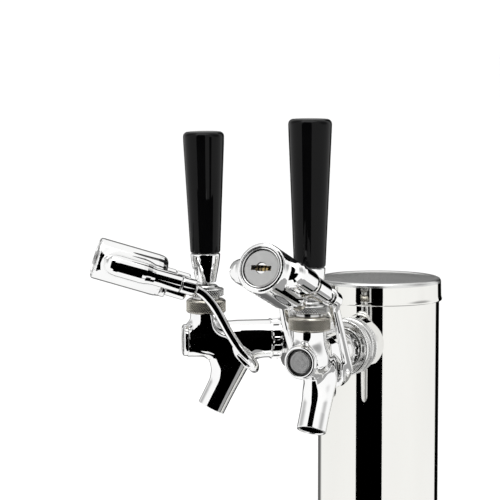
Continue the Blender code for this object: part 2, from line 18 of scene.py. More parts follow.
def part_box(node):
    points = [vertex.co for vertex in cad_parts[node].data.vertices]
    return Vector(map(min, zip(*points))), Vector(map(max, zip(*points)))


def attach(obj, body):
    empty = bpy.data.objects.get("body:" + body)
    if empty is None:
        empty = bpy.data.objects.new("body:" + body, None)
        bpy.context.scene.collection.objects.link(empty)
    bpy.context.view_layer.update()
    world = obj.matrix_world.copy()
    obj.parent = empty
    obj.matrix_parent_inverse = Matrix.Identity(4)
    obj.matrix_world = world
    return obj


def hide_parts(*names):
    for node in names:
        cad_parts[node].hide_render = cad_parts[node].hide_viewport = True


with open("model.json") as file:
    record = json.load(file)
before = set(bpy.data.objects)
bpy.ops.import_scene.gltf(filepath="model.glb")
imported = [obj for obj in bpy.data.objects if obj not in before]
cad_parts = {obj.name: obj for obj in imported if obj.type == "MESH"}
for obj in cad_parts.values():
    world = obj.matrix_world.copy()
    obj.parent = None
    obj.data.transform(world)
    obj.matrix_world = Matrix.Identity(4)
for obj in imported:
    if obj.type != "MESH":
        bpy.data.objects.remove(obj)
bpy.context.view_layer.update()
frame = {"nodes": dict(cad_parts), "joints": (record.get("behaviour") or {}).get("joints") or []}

MM = 0.001
CELL = 0.7  # grid size for the distance fields
SIDES = ("left", "right")
JOINTS = {joint["name"]: joint for joint in frame["joints"]}

PIVOT_RISE = 27.5  # from the shank's axis up to the lever's pivot
SHANK_Z = JOINTS["left_pour"]["pos_m"][2] / MM - PIVOT_RISE
NECK_X = 110  # the upright neck's axis
ARM_Y = 16.3  # from the lock's axis out to each side arm
STOP_DROP = 5.4  # from the lock's axis down to the stop's

# What differs between the two faucets
LEVER_LEAN = {"left": 0.8, "right": 0.0}  # degrees about the pivot
GRIP_SHORT = {"left": 0.18, "right": 0}  # taken off the grip's top
LOCK_GIRTH = {"left": 1.0, "right": 1.12}  # scale of the lock head's radii
BOSS_BACK = {"left": 0.4, "right": 10.6}  # from the lock frame's origin back to the boss

column_low, column_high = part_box("tower_column")
AXIS = Vector(((column_low.x + column_high.x) / 2, (column_low.y + column_high.y) / 2, 0))


# ---------------------------------------------------------------- frames

def basis(origin, x, y, z):
    made = Matrix.Identity(4)
    for column, part in enumerate((x, y, z, origin)):
        for row in range(3):
            made[row][column] = part[row]
    return made


def faucet_frame(side):
    joint = JOINTS[side + "_pour"]
    place = joint["pos_m"]
    out = Vector((place[0] - AXIS.x, place[1] - AXIS.y, 0)).normalized()
    across = Vector(joint["axis"]).normalized()
    return basis((AXIS.x, AXIS.y, SHANK_Z * MM), out, across, Vector((0, 0, 1)))


def lock_frame(side):
    """Z outwards along the lock's axis from the arms' rear ends, X down, Y across."""
    joint = JOINTS[side + "_key_turn"]
    along = Vector(joint["axis"]).normalized()
    across = Vector(JOINTS[side + "_pour"]["axis"]).normalized()
    return basis(joint["pos_m"], across.cross(along), across, along)


def lever_frame(side):
    """Z up along the lever from its pivot, Y across."""
    joint = JOINTS[side + "_pour"]
    across = Vector(joint["axis"]).normalized()
    lean = Matrix.Rotation(math.radians(LEVER_LEAN[side]), 3, across)
    up = (lean @ Vector((0, 0, 1))).normalized()
    return basis(joint["pos_m"], across.cross(up), across, up)


def shift(x=0, y=0, z=0):
    return Matrix.Translation((x * MM, y * MM, z * MM))


FAUCET = {side: faucet_frame(side) for side in SIDES}
LOCK = {side: lock_frame(side) for side in SIDES}
# Turns a piece's own Z onto the faucet's X
ALONG_X = Matrix(((0, 0, 1, 0), (0, 1, 0, 0), (-1, 0, 0, 0), (0, 0, 0, 1)))


# ---------------------------------------------------------------- shader nodes

def feed(tree, node, inputs):
    """Fills a node's inputs: a socket is linked, anything else is set as the value."""
    for name, value in inputs.items():
        if isinstance(value, bpy.types.NodeSocket):
            tree.links.new(value, node.inputs[name])
        else:
            node.inputs[name].default_value = value


def add_node(tree, kind, inputs=None, **settings):
    node = tree.nodes.new("ShaderNode" + kind)
    for name, value in settings.items():
        setattr(node, name, value)
    feed(tree, node, inputs or {})
    return node


def nodes_for(name):
    mat = bpy.data.materials.new(name)
    mat.use_nodes = True
    tree = mat.node_tree
    return mat, tree, tree.nodes["Principled BSDF"]


def grey(level):
    return (level, level, level)


def noise(tree, scale, detail, stretch=(1, 1, 1)):
    coord = add_node(tree, "TexCoord")
    mapping = add_node(tree, "Mapping", {"Scale": stretch, "Vector": coord.outputs["Object"]})
    inputs = {"Scale": scale, "Detail": detail, "Vector": mapping.outputs["Vector"]}
    return add_node(tree, "TexNoise", inputs).outputs["Fac"]


def spread(tree, source, low, high):
    """The middle of a source's range, 0.3 to 0.7, stretched to low and high."""
    inputs = {"From Min": 0.3, "From Max": 0.7, "To Min": low, "To Max": high, "Value": source}
    return add_node(tree, "MapRange", inputs).outputs["Result"]


def bumped(tree, shader, source, strength, distance):
    inputs = {"Strength": strength, "Distance": distance, "Height": source}
    feed(tree, shader, {"Normal": add_node(tree, "Bump", inputs).outputs["Normal"]})


def tinted(tree, shader, source, dark, light):
    inputs = {"A": (*dark, 1), "B": (*light, 1), "Factor": source}
    mix = add_node(tree, "Mix", inputs, data_type="RGBA")
    feed(tree, shader, {"Base Color": mix.outputs["Result"]})


def clouded(tree, shader, cloud, dark, light, rough):
    """Cloudy wear in colour and roughness."""
    tinted(tree, shader, spread(tree, cloud, low=0, high=1), dark, light)
    feed(tree, shader, {"Roughness": spread(tree, cloud, *rough)})


# ---------------------------------------------------------------- materials

def metal(name, dark, light, rough, scale, bump, stretch=(1, 1, 1)):
    """Metal with cloudy wear and a fine surface grain."""
    mat, tree, shader = nodes_for(name)
    feed(tree, shader, {"Metallic": 1.0})
    clouded(tree, shader, noise(tree, scale, detail=4.0, stretch=stretch), dark, light, rough)
    grain = noise(tree, scale=900.0, detail=2.0, stretch=stretch)
    bumped(tree, shader, grain, strength=bump, distance=0.0001)
    return mat


def soft(name, dark, light, rough, scale=200.0, bump=0.2, grain=1500.0, coat=0.0):
    """Plastic, rubber or foam: two close colours, uneven roughness and a pebbled grain."""
    mat, tree, shader = nodes_for(name)
    clouded(tree, shader, noise(tree, scale, detail=4.0), dark, light, rough)
    feed(tree, shader, {
        "Coat Weight": coat,
        "Coat Roughness": 0.03,
        "Specular IOR Level": 0.08 if coat else 0.5,
    })
    if bump:
        pebbles = noise(tree, scale=grain, detail=2.0)
        bumped(tree, shader, pebbles, strength=bump, distance=0.0002)
    return mat


def ringed(name, dark, light, rough, gap, bump):
    """Metal faced on a lathe: fine rings round the piece's own axis, gap mm apart."""
    mat, tree, shader = nodes_for(name)
    feed(tree, shader, {"Metallic": 1.0})
    flat = add_node(tree, "UVMap", uv_map="turning")
    # At scale 1 the rings repeat every 0.314 units; the flat map's unit is 10 mm
    inputs = {"Scale": 3.14 / gap, "Distortion": 0.6, "Detail": 2.0, "Vector": flat.outputs["UV"]}
    wave = add_node(tree, "TexWave", inputs, wave_type="RINGS", rings_direction="SPHERICAL")
    rings = wave.outputs["Fac"]
    tinted(tree, shader, noise(tree, scale=400.0, detail=3.0), dark, light)
    feed(tree, shader, {"Roughness": spread(tree, rings, *rough)})
    bumped(tree, shader, rings, strength=bump, distance=0.00005)
    return mat


def shade_painted_grooves(mat, dark):
    """The same metal with painted shade in its grooves, darker by how hollow the surface is."""
    tree = mat.node_tree
    shader = tree.nodes["Principled BSDF"]
    source = shader.inputs["Base Color"].links[0].from_socket
    # painted shade: the base colour turns dark where the surface is hollow, as down in a knurl's
    # grooves
    hollow = add_node(tree, "NewGeometry").outputs["Pointiness"]
    level = add_node(tree, "MapRange", {"From Min": 0.44, "From Max": 0.53, "Value": hollow})
    inputs = {"A": (*dark, 1), "Factor": level.outputs["Result"], "B": source}
    mix = add_node(tree, "Mix", inputs, data_type="RGBA")
    feed(tree, shader, {"Base Color": mix.outputs["Result"]})
    return mat


CHROME = metal("bright_chrome", dark=grey(0.86), light=(0.92, 0.92, 0.915),
               rough=(0.015, 0.05), scale=45.0, bump=0.006)
COLUMN = metal("column_chrome", dark=(0.80, 0.795, 0.765), light=(0.84, 0.835, 0.805),
               rough=(0.02, 0.05), scale=25.0, bump=0.004, stretch=(1, 1, 0.2))
CAP = metal("cap_chrome", dark=(0.68, 0.68, 0.67), light=(0.73, 0.73, 0.72),
            rough=(0.24, 0.28), scale=18.0, bump=0.004)
SATIN = ringed("satin_steel", dark=grey(0.56), light=(0.64, 0.64, 0.63),
               rough=(0.30, 0.42), gap=0.05, bump=0.15)
FACED = ringed("faced_steel", dark=grey(0.40), light=grey(0.50),
               rough=(0.22, 0.34), gap=0.12, bump=0.45)
NICKEL = metal("nickel_knurl", dark=(0.60, 0.575, 0.51), light=(0.70, 0.67, 0.60),
               rough=(0.18, 0.28), scale=120.0, bump=0.03)
# painted shade: the nickel knurl's grooves are coloured near black
shade_painted_grooves(NICKEL, dark=(0.06, 0.055, 0.045))
SILVER = metal("silver_knurl", dark=(0.72, 0.72, 0.71), light=(0.82, 0.82, 0.81),
               rough=(0.12, 0.22), scale=120.0, bump=0.03)
# painted shade: the silver knurl's grooves are coloured near black
shade_painted_grooves(SILVER, dark=grey(0.08))
STEEL = metal("plain_steel", dark=grey(0.46), light=grey(0.60),
              rough=(0.22, 0.38), scale=200.0, bump=0.10)
BRASS = metal("machined_brass", dark=(0.55, 0.40, 0.18), light=(0.74, 0.58, 0.30),
              rough=(0.20, 0.36), scale=200.0, bump=0.10)
WAFER = metal("key_wafers", dark=(0.16, 0.13, 0.08), light=(0.50, 0.40, 0.24),
              rough=(0.25, 0.45), scale=900.0, bump=0.20)
BLACK = soft("gloss_black", dark=(0.0012, 0.0012, 0.0014), light=(0.0022, 0.0022, 0.0024),
             rough=(0.05, 0.10), scale=40.0, bump=0.0, coat=0.12)
RUBBER = soft("black_rubber", dark=grey(0.015), light=grey(0.03), rough=(0.55, 0.8))
NYLON = soft("white_nylon", dark=(0.74, 0.74, 0.71), light=(0.82, 0.82, 0.80),
             rough=(0.35, 0.5), bump=0.05)
VINYL = soft("clear_vinyl", dark=(0.70, 0.73, 0.73), light=(0.82, 0.84, 0.84),
             rough=(0.15, 0.3), bump=0.03)
FOAM = soft("grey_foam", dark=(0.05, 0.05, 0.055), light=(0.13, 0.13, 0.14),
            rough=(0.85, 1.0), scale=900.0, bump=0.8, grain=700.0)
# Painted shade: near-black metal for thin rings set down in narrow gaps, standing for the shade
# that falls in them
GAP_SHADE = metal("recess_dark", dark=grey(0.05), light=grey(0.12),
             rough=(0.30, 0.50), scale=300.0, bump=0.05)


# ---------------------------------------------------------------- mesh tools

def finished(name, shape, place, mat, slot="bright_chrome", body="root", replaced=None, sharp=35):
    """A piece from (points, faces) or (points, faces, normals), placed by a matrix.

    Its flat map holds X and Y in the piece's own frame, in cm.
    """
    verts, faces, *normals = shape
    own = np.asarray(verts, float)
    matrix = np.array(place)
    turn = matrix[:3, :3].T
    mesh = bpy.data.meshes.new(name)
    points = [tuple(v) for v in own * MM @ turn + matrix[:3, 3]]
    mesh.from_pydata(points, [], [tuple(int(i) for i in face) for face in faces])
    mesh.validate()
    flat = mesh.uv_layers.new(name="turning")
    corner = np.zeros(len(mesh.loops), np.int32)
    mesh.loops.foreach_get("vertex_index", corner)
    flat.data.foreach_set("uv", (own[corner][:, :2] * 0.1).astype(np.float32).ravel())
    mesh.materials.append(mat)
    mesh.shade_smooth()
    if normals:
        mesh.normals_split_custom_set_from_vertices([tuple(n) for n in normals[0] @ turn])
    else:
        mesh.set_sharp_from_angle(angle=math.radians(sharp))
    obj = bpy.data.objects.new(name, mesh)
    bpy.context.scene.collection.objects.link(obj)
    if not normals:
        weighted = obj.modifiers.new("Weighted", "WEIGHTED_NORMAL")
        weighted.keep_sharp = True
    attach(obj, body)
    if replaced:
        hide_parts(replaced)
    return obj


def rounded(profile, size, closed):
    """Every corner of a profile sharper than 25 degrees, rounded over by about size."""
    points = [np.array(p, float) for p in profile]
    made = []
    count = len(points)
    for i, here in enumerate(points):
        if not closed and i in (0, count - 1):
            made.append(here)
            continue
        back, on = points[i - 1] - here, points[(i + 1) % count] - here
        back_length, on_length = np.linalg.norm(back), np.linalg.norm(on)
        cosine = float(back @ on) / (back_length * on_length)
        turn = math.pi - math.acos(max(-1.0, min(1.0, cosine)))
        if turn < math.radians(25):
            made.append(here)
            continue
        cut = min(size, 0.42 * back_length, 0.42 * on_length)
        start, end = here + back / back_length * cut, here + on / on_length * cut
        pieces = max(2, int(math.degrees(turn) / 22) + 1)
        for n in range(pieces + 1):
            t = n / pieces
            made.append((1 - t) ** 2 * start + 2 * t * (1 - t) * here + t * t * end)
    return made


def swept(profile, steps, edge, push):
    """Points and faces of a (radius, height) profile turned about Z.

    A profile that starts off the axis is closed on itself.
    push(radius, height, angles) gives the radius all the way round.
    """
    closed = profile[0][0] > 0
    points = rounded(profile, edge, closed) if edge else [np.array(p, float) for p in profile]
    angles = np.arange(steps) / steps * 2 * math.pi
    verts, rows = [], []
    for r, height in points:
        if abs(r) < 1e-6:
            rows.append([len(verts)])
            verts.append((0.0, 0.0, height))
            continue
        radius = np.full(steps, push(r, height, angles) if push else r)
        rows.append(list(range(len(verts), len(verts) + steps)))
        x, y = radius * np.cos(angles), radius * np.sin(angles)
        verts += list(zip(x, y, np.full(steps, height)))
    faces = []
    pairs = list(zip(rows[:-1], rows[1:])) + ([(rows[-1], rows[0])] if closed else [])
    for upper, lower in pairs:
        for i in range(steps):
            j = (i + 1) % steps
            if len(upper) == 1:
                faces.append((upper[0], lower[i], lower[j]))
            elif len(lower) == 1:
                faces.append((upper[j], upper[i], lower[0]))
            else:
                faces.append((upper[i], lower[i], lower[j], upper[j]))
    return verts, faces


def turned(name, profile, place, mat, steps=128, edge=0.25, push=None, **rest):
    return finished(name, swept(profile, steps, edge, push), place, mat, **rest)


def block(inner, outer, high, low):
    """The (radius, height) outline of a ring, or of a cylinder when inner is 0."""
    return [(inner, high), (outer, high), (outer, low), (inner, low)]


def lofted(rings):
    """Points and faces of a solid through rings of equal count, capped at both ends."""
    count, last = len(rings[0]), len(rings) - 1
    faces = []
    for row in range(last):
        for i in range(count):
            j = (i + 1) % count
            this, following = row * count, (row + 1) * count
            faces.append((this + i, this + j, following + j, following + i))
    faces.append(tuple(reversed(range(count))))
    faces.append(tuple(range(last * count, (last + 1) * count)))
    return np.concatenate(rings), faces


def shrunk(outline, scale):
    centre = outline.mean(0)
    return centre + (outline - centre) * scale


# ---------------------------------------------------------------- knurls

KNURL_PITCH = 1.55  # height of one diamond
KNURL_FADE = 0.3  # height over which a band's ends run out


def saw(x):
    return np.abs(2 * (x - np.floor(x)) - 1)


def knurled(radius, bands, around, depth):
    """A radius with a diamond knurl between the (low, high) heights of each band."""
    def push(r, height, angles):
        for low, high in bands:
            if low - 1e-6 <= height <= high + 1e-6 and r >= radius - 0.02:
                turns = angles / (2 * math.pi) * around
                rise = height / KNURL_PITCH
                groove = np.maximum(saw(turns + rise), saw(turns - rise))
                ends = min(1.0, (height - low) / KNURL_FADE, (high - height) / KNURL_FADE)
                return r - depth * np.clip(groove * 1.4 - 0.4, 0, 1) ** 1.5 * max(ends, 0.0)
        return r
    return push


def band_rows(radius, low, high):
    """Profile points down a knurled band, eight to a pitch."""
    count = max(2, int(round((high - low) / KNURL_PITCH * 8)))
    return [(radius, high + (low - high) * n / count) for n in range(count + 1)]


def knurled_ring(name, profile, place, mat, radius, bands, around, depth, **rest):
    """A turned ring whose bands carry around diamonds, eight steps to each."""
    push = knurled(radius, bands, around, depth)
    turned(name, profile, place, mat, steps=around * 8, edge=0.0, push=push, sharp=50, **rest)


# ---------------------------------------------------------------- distance fields

def polygon(radius, height, outline):
    """Signed distance in a half plane to a closed outline, negative inside."""
    outline = np.array(outline, float)
    best = np.full(radius.shape, 1e9)
    inside = np.zeros(radius.shape, bool)
    for a, b in zip(outline, np.roll(outline, -1, axis=0)):
        edge = b - a
        dr, dh = radius - a[0], height - a[1]
        t = np.clip((dr * edge[0] + dh * edge[1]) / (edge @ edge), 0, 1)
        best = np.minimum(best, (dr - edge[0] * t) ** 2 + (dh - edge[1] * t) ** 2)
        crosses = (a[1] > height) != (b[1] > height)
        if edge[1] != 0:
            inside ^= crosses & (radius < a[0] + edge[0] * (height - a[1]) / edge[1])
    return np.where(inside, -1, 1) * np.sqrt(best)


def lathe_field(points, origin, axis, outline):
    """A (radius, height) outline turned about an axis; radius 0 is moved well past it."""
    axis = np.array(axis, float) / np.linalg.norm(axis)
    offset = points - np.array(origin, float)
    height = offset @ axis
    radius = np.linalg.norm(offset - height[:, None] * axis, axis=1)
    return polygon(radius, height, [(r if r > 0 else -8.0, h) for r, h in outline])


def bar_field(points, a, b, radius):
    a, b = np.array(a, float), np.array(b, float)
    span = b - a
    t = np.clip((points - a) @ span / (span @ span), 0, 1)
    return np.linalg.norm(points - a - t[:, None] * span, axis=1) - radius


def chain_field(points, path, radius):
    made = np.full(len(points), 1e9)
    for a, b in zip(path[:-1], path[1:]):
        made = np.minimum(made, bar_field(points, a, b, radius))
    return made


def box_field(points, centre, half, round_off=0.0):
    beyond = np.abs(points - np.array(centre, float)) - (np.array(half, float) - round_off)
    outside = np.linalg.norm(np.maximum(beyond, 0), axis=1)
    return outside + np.minimum(beyond.max(axis=1), 0) - round_off


def blended(a, b, width):
    near = np.maximum(width - np.abs(a - b), 0) / width
    return np.minimum(a, b) - near * near * width / 4


def minus(a, b, width):
    return -blended(-a, b, width)


def slopes(field, points, reach=0.02):
    made = np.empty_like(points)
    for axis in range(3):
        step = np.zeros(3)
        step[axis] = reach
        made[:, axis] = (field(points + step) - field(points - step)) / (2 * reach)
    return made


def settled(field, points, rounds):
    """Points moved onto the field's surface."""
    for _ in range(rounds):
        slope = slopes(field, points)
        steep = np.maximum((slope * slope).sum(1), 0.25)
        move = field(points)[:, None] * slope / steep[:, None]
        points = points - np.clip(move, -0.4, 0.4)
    return points


def neighbours(grid, axis):
    """A grid without its last layer along an axis, and without its first."""
    first, second = [slice(None)] * 3, [slice(None)] * 3
    first[axis], second[axis] = slice(None, -1), slice(1, None)
    return grid[tuple(first)], grid[tuple(second)]


def sampled(field, axes):
    """The field on the grid, worked out in slabs of eight layers to save memory."""
    shape = [len(a) for a in axes]
    made = np.empty(shape)
    layer = np.stack(np.meshgrid(axes[1], axes[2], indexing="ij"), -1).reshape(-1, 2)
    for start in range(0, shape[0], 8):
        xs = axes[0][start:start + 8]
        points = [np.repeat(xs, len(layer))[:, None], np.tile(layer, (len(xs), 1))]
        values = field(np.concatenate(points, axis=1))
        made[start:start + 8] = values.reshape(len(xs), shape[1], shape[2])
    return made


def nets(field, low, high):
    """Surface nets on a grid, each quad split in four, all points settled on the surface."""
    axes = [np.arange(low[i] - CELL, high[i] + 2 * CELL, CELL) for i in range(3)]
    grid = sampled(field, axes)
    inside = grid < 0

    # one point in each cell the surface passes through, at the mean of its edge crossings
    cells = tuple(size - 1 for size in grid.shape)
    total = np.zeros((*cells, 3))
    count = np.zeros(cells)
    for axis in range(3):
        near, far = neighbours(grid, axis)
        cross = (near < 0) != (far < 0)
        t = np.where(cross, near / np.where(cross, near - far, 1), 0)
        others = [i for i in range(3) if i != axis]
        for i in (0, 1):
            for j in (0, 1):
                part = [slice(None)] * 3
                part[others[0]] = slice(i, i + cells[others[0]])
                part[others[1]] = slice(j, j + cells[others[1]])
                crossed = cross[tuple(part)]
                offset = np.zeros((*cells, 3))
                offset[..., axis] = t[tuple(part)]
                offset[..., others[0]] = i
                offset[..., others[1]] = j
                total += offset * crossed[..., None]
                count += crossed
    used = count > 0
    index = np.full(cells, -1)
    index[used] = np.arange(used.sum())
    corner = np.array([axes[i][0] for i in range(3)])
    verts = corner + (np.argwhere(used) + total[used] / count[used][:, None]) * CELL

    # one quad round each crossed grid edge, facing outwards
    quads = []
    for axis in range(3):
        near, far = neighbours(inside, axis)
        others = [(axis + 1) % 3, (axis + 2) % 3]
        at = np.argwhere(near != far)
        at = at[(at[:, others[0]] > 0) & (at[:, others[1]] > 0)]
        corners = []
        for i, j in ((0, 0), (1, 0), (1, 1), (0, 1)):
            cell = at.copy()
            cell[:, others[0]] -= 1 - i
            cell[:, others[1]] -= 1 - j
            corners.append(index[cell[:, 0], cell[:, 1], cell[:, 2]])
        quad = np.stack(corners, 1)
        out = inside[at[:, 0], at[:, 1], at[:, 2]]
        quad[~out] = quad[~out][:, ::-1]
        quads.append(quad)
    quads = np.concatenate(quads)
    verts = settled(field, verts, rounds=2)

    # each quad in four, through its edges' middles
    edges = np.sort(np.concatenate([quads[:, [i, (i + 1) % 4]] for i in range(4)]), axis=1)
    unique, inverse = np.unique(edges, axis=0, return_inverse=True)
    middle = inverse.reshape(4, -1).T + len(verts)
    centre = np.arange(len(quads)) + len(verts) + len(unique)
    fine = np.concatenate([
        np.stack([quads[:, i], middle[:, i], centre, middle[:, i - 1]], 1) for i in range(4)
    ])
    verts = np.concatenate([verts, verts[unique].mean(1), verts[quads].mean(1)])
    verts = settled(field, verts, rounds=3)
    normals = slopes(field, verts)
    normals /= np.maximum(np.linalg.norm(normals, axis=1), 1e-9)[:, None]
    return verts, fine, normals


# ---------------------------------------------------------------- tower
# Profiles are (radius, height above the counter).

COLUMN_RADIUS = 38.1
COLUMN_WALL = 1.5
FOOT_RING = [
    (39.9, 16.0), (40.5, 15.5), (40.9, 13.0), (41.3, 10.2), (42.2, 8.2), (43.6, 6.9),
    (46.0, 6.05), (50, 5.75), (57.1, 5.3), (58.3, 4.6), (58.7, 3.8), (58.7, 2.3),
    (33.0, 2.3), (33.0, 5.3), (38.45, 5.3), (38.45, 16.0),
]
SCREW = [
    (0, 7.2), (1.55, 7.2), (1.7, 9.25), (2.6, 9.15), (3.6, 8.75), (4.3, 8.0),
    (4.65, 7.1), (4.7, 6.4), (2.5, 6.4), (2.5, 0.6), (0, 0.6),
]


def build_column(stand):
    profile = block(COLUMN_RADIUS - COLUMN_WALL, COLUMN_RADIUS,
                    column_high.z / MM, column_low.z / MM)
    turned("column_tube", profile, stand, COLUMN, slot="column_chrome",
           replaced="tower_column", steps=256, edge=0.3)


def build_cap(stand):
    low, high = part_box("tower_cap")
    lip, top = low.z / MM, high.z / MM
    lid = [
        (0, top - 1.35), (20, top - 1.3), (33.2, top - 1.05), (34.6, top - 0.55),
        (35.8, top - 0.05), (37.2, top), (38.3, top - 0.45), (39.0, top - 1.4),
        (39.2, top - 2.6), (39.35, lip + 3.2), (39.5, lip + 2.0), (39.75, lip + 1.5),
        (39.88, lip + 0.8), (39.7, lip + 0.15), (39.3, lip), (38.5, lip),
        (38.5, top - 2.9), (0, top - 2.9),
    ]
    turned("cap_lid", lid, stand, CAP, slot="column_chrome",
           replaced="tower_cap", steps=256, edge=0.2, sharp=40)
    # a brighter skin over the lid's side
    skirt = [
        (39.23, top - 2.75), (39.38, lip + 3.2), (39.53, lip + 2.0), (39.78, lip + 1.5),
        (39.9, lip + 0.8), (39.72, lip + 0.12), (39.3, lip), (38.9, lip + 0.4),
        (38.9, top - 3.2),
    ]
    turned("cap_skirt", skirt, stand, COLUMN, slot="column_chrome",
           steps=256, edge=0.0, sharp=60)


def screw_recess(r, height, angles):
    """Six lobes round the recess in a screw's head."""
    return r * (1 + 0.10 * np.cos(6 * angles)) if r < 2.2 and height > 6 else r


def build_foot(stand):
    turned("foot_ring", FOOT_RING, stand, CHROME, slot="column_chrome",
           replaced="base_flange", steps=256, edge=0.3)
    for n in range(1, 5):
        name = f"flange_screw_{n}"
        low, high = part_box(name)
        middle = (low + high) / 2
        place = Matrix.Translation((middle.x, middle.y, 0))
        turned(f"screw_head_{n}", SCREW, place, STEEL, slot="plain_steel",
               replaced=name, steps=48, edge=0.12, push=screw_recess)


# ---------------------------------------------------------------- faucet body
# Outlines are (radius, distance along the piece's axis).

X_AXIS, Z_AXIS = (1, 0, 0), (0, 0, 1)
BARREL_END = 58.8
BARREL = [
    (0, 121.7), (9.75, 121.7), (9.95, 121.4), (9.97, 116), (10.1, 112), (10.6, 106),
    (11.5, 97), (12.0, 90), (12.0, 70.4), (12.3, 69.9), (12.3, 69.0), (11.6, 68.6),
    (11.6, 64.3), (12.4, 63.9), (12.3, 63.3), (9.7, 63.3), (9.7, 60.3), (11.1, 60.3),
    (11.1, BARREL_END), (0, BARREL_END),
]
BORE = [
    (0, 118), (7.95, 118), (7.95, 115), (5.6, 115), (5.6, 84.5), (8.2, 82), (8.2, 58), (0, 58),
]
NECK = [
    (0, 23.5), (8.7, 23.5), (8.7, 17), (9.85, 17), (9.9, 9), (10.0, 3), (9.2, -2.0),
    (6.5, -5.5), (0, -7),
]
SPOUT_TIP = (107.0, 0.0, -43.0)
SPOUT_LEAN = math.radians(27)
SPOUT_UP = (-math.sin(SPOUT_LEAN), 0.0, math.cos(SPOUT_LEAN))
SPOUT = [
    (0, 44), (9.5, 44), (9.6, 34), (9.3, 26), (8.95, 18), (8.75, 10), (8.75, 0.25),
    (8.5, 0), (0, 0),
]
COLLAR = [
    (12.6, 69.55), (12.95, 69.1), (12.95, 68.4), (12.95, 67), (12.95, 65.6), (12.95, 64.6),
    (12.6, 63.7), (12.2, 63.35), (11.3, 63.5), (11.3, 69.5),
]
ESCUTCHEON = [(11.5, 45.7), (16.6, 45.7), (17.0, 45.2), (17.0, 33.0), (11.5, 33.0)]
NOSE_CUP = [
    (0, 123.2), (6.35, 123.2), (6.45, 122.0), (7.75, 122.0), (7.9, 124.2), (8.2, 124.7),
    (8.9, 124.72), (9.5, 124.45), (9.85, 123.8), (9.95, 122.9), (9.95, 122.2),
    (9.75, 121.95), (9.15, 121.9), (9.15, 117.9), (7.7, 117.85), (7.7, 115.4), (0, 115.4),
]
NOSE_DISC = [
    (0, 124.5), (0.35, 124.5), (0.4, 124.38), (1.4, 124.42), (1.5, 124.52), (3.1, 124.54),
    (3.2, 124.46), (4.6, 124.48), (4.7, 124.58), (5.75, 124.56), (6.15, 124.2),
    (6.2, 123.0), (0, 123.0),
]
# a painted-shade ring on the floor of the channel between the nose disc and its cup
NOSE_GROOVE_SHADE = [(6.5, 122.35), (7.6, 122.35), (7.7, 122.05), (6.45, 122.05)]


def casting_field(points):
    """The casting: barrel, nose and neck run together, with the spout set into it."""
    def lathe(origin, axis, outline):
        return lathe_field(points, origin, axis, outline)

    x, y, z = points.T
    origin, neck_foot = (0, 0, 0), (NECK_X, 0, 0)
    made = blended(lathe(origin, X_AXIS, BARREL), lathe(neck_foot, Z_AXIS, NECK), 5.5)
    made = blended(made, lathe(SPOUT_TIP, SPOUT_UP, SPOUT), 7.0)
    # a web between the barrel and the spout
    made = blended(made, bar_field(points, (103.6, 0.0, -4.5), (99.6, 0.0, -19.0), 6.2), 5.0)
    # a pad 0.4 proud of the outer side, above the spout
    pad = np.maximum.reduce([
        made - 0.4,
        -(z + 12.3 - 0.03 * y ** 2),
        np.abs(y) - 6.2 - 0.35 * (z + 12.0),
        101.0 - x,
        z + 3.0,
    ])
    made = blended(made, pad, 0.3)
    # a slanting hole through the pad
    made = minus(made, bar_field(points, (114.0, 0.0, -12.0), (107.0, 0.0, -5.5), 1.25), 0.2)
    made = np.maximum(made, BARREL_END - x)
    cuts = (
        (lathe(origin, X_AXIS, BORE), 0.2),
        (lathe(origin, X_AXIS, block(0, 9.3, 132, 117.45)), 0.1),
        (lathe(neck_foot, Z_AXIS, block(0, 7.25, 24, 3)), 0.2),
        (lathe(SPOUT_TIP, SPOUT_UP, block(0, 7.0, 29, -1)), 0.9),
        (lathe((93.6, 0, 0), Z_AXIS, block(0, 4.6, -1, -21)), 0.3),
        (box_field(points, (105.5, 0, 8.5), (8.0, 2.7, 9.6)), 0.2),
    )
    for cut, width in cuts:
        made = minus(made, cut, width)
    return made


def scallops(r, height, angles):
    """Eighteen scallops round the collar."""
    if r > 12.2 and 64 < height < 69.4:
        return r - 0.55 * np.abs(np.sin(9 * angles)) ** 0.6
    return r


def build_coupling(side, shank):
    radius = 17.5
    bands = [(56.0, 60.6), (47.2, 52.3)]
    profile = [
        (radius - 1.6, 61.4), (radius - 0.7, 61.25),
        *band_rows(radius, *bands[0]),
        (radius - 0.75, 55.3), (radius - 0.85, 54.2), (radius - 0.75, 53.0),
        *band_rows(radius, *bands[1]),
        (radius - 0.8, 46.2), (radius - 1.4, 46.0), (11.6, 46.0), (11.6, 60.5),
        (9.95, 60.5), (9.95, 61.4),
    ]
    knurled_ring(f"{side}_coupling_knurl", profile, shank, SILVER, radius, bands,
                 around=70, depth=0.8, slot="silver_knurl", replaced=f"{side}_coupling_nut")


def build_nose(side, shank):
    """The plug in the barrel's outer end."""
    turned(f"{side}_nose_cup", NOSE_CUP, shank, CHROME,
           replaced=f"{side}_nose_plug", steps=160, edge=0.12)
    turned(f"{side}_nose_disc", NOSE_DISC, shank, FACED, slot="satin_steel", edge=0.05)
    # painted shade in the channel round the disc
    turned(f"{side}_nose_groove_shade", NOSE_GROOVE_SHADE, shank, GAP_SHADE, slot="satin_steel", edge=0.05)


def build_bonnet(side, stem):
    radius = 12.35
    band = (18.2, 24.4)
    profile = [
        (8.8, 25.95), (10.7, 25.9), (11.8, 25.2),
        *band_rows(radius, *band),
        (11.7, 17.4), (9.05, 17.35), (9.05, 24.2), (8.8, 24.5),
    ]
    knurled_ring(f"{side}_bonnet_knurl", profile, stem, NICKEL, radius, [band],
                 around=50, depth=0.8, slot="nickel_knurl", replaced=f"{side}_bonnet_nut")


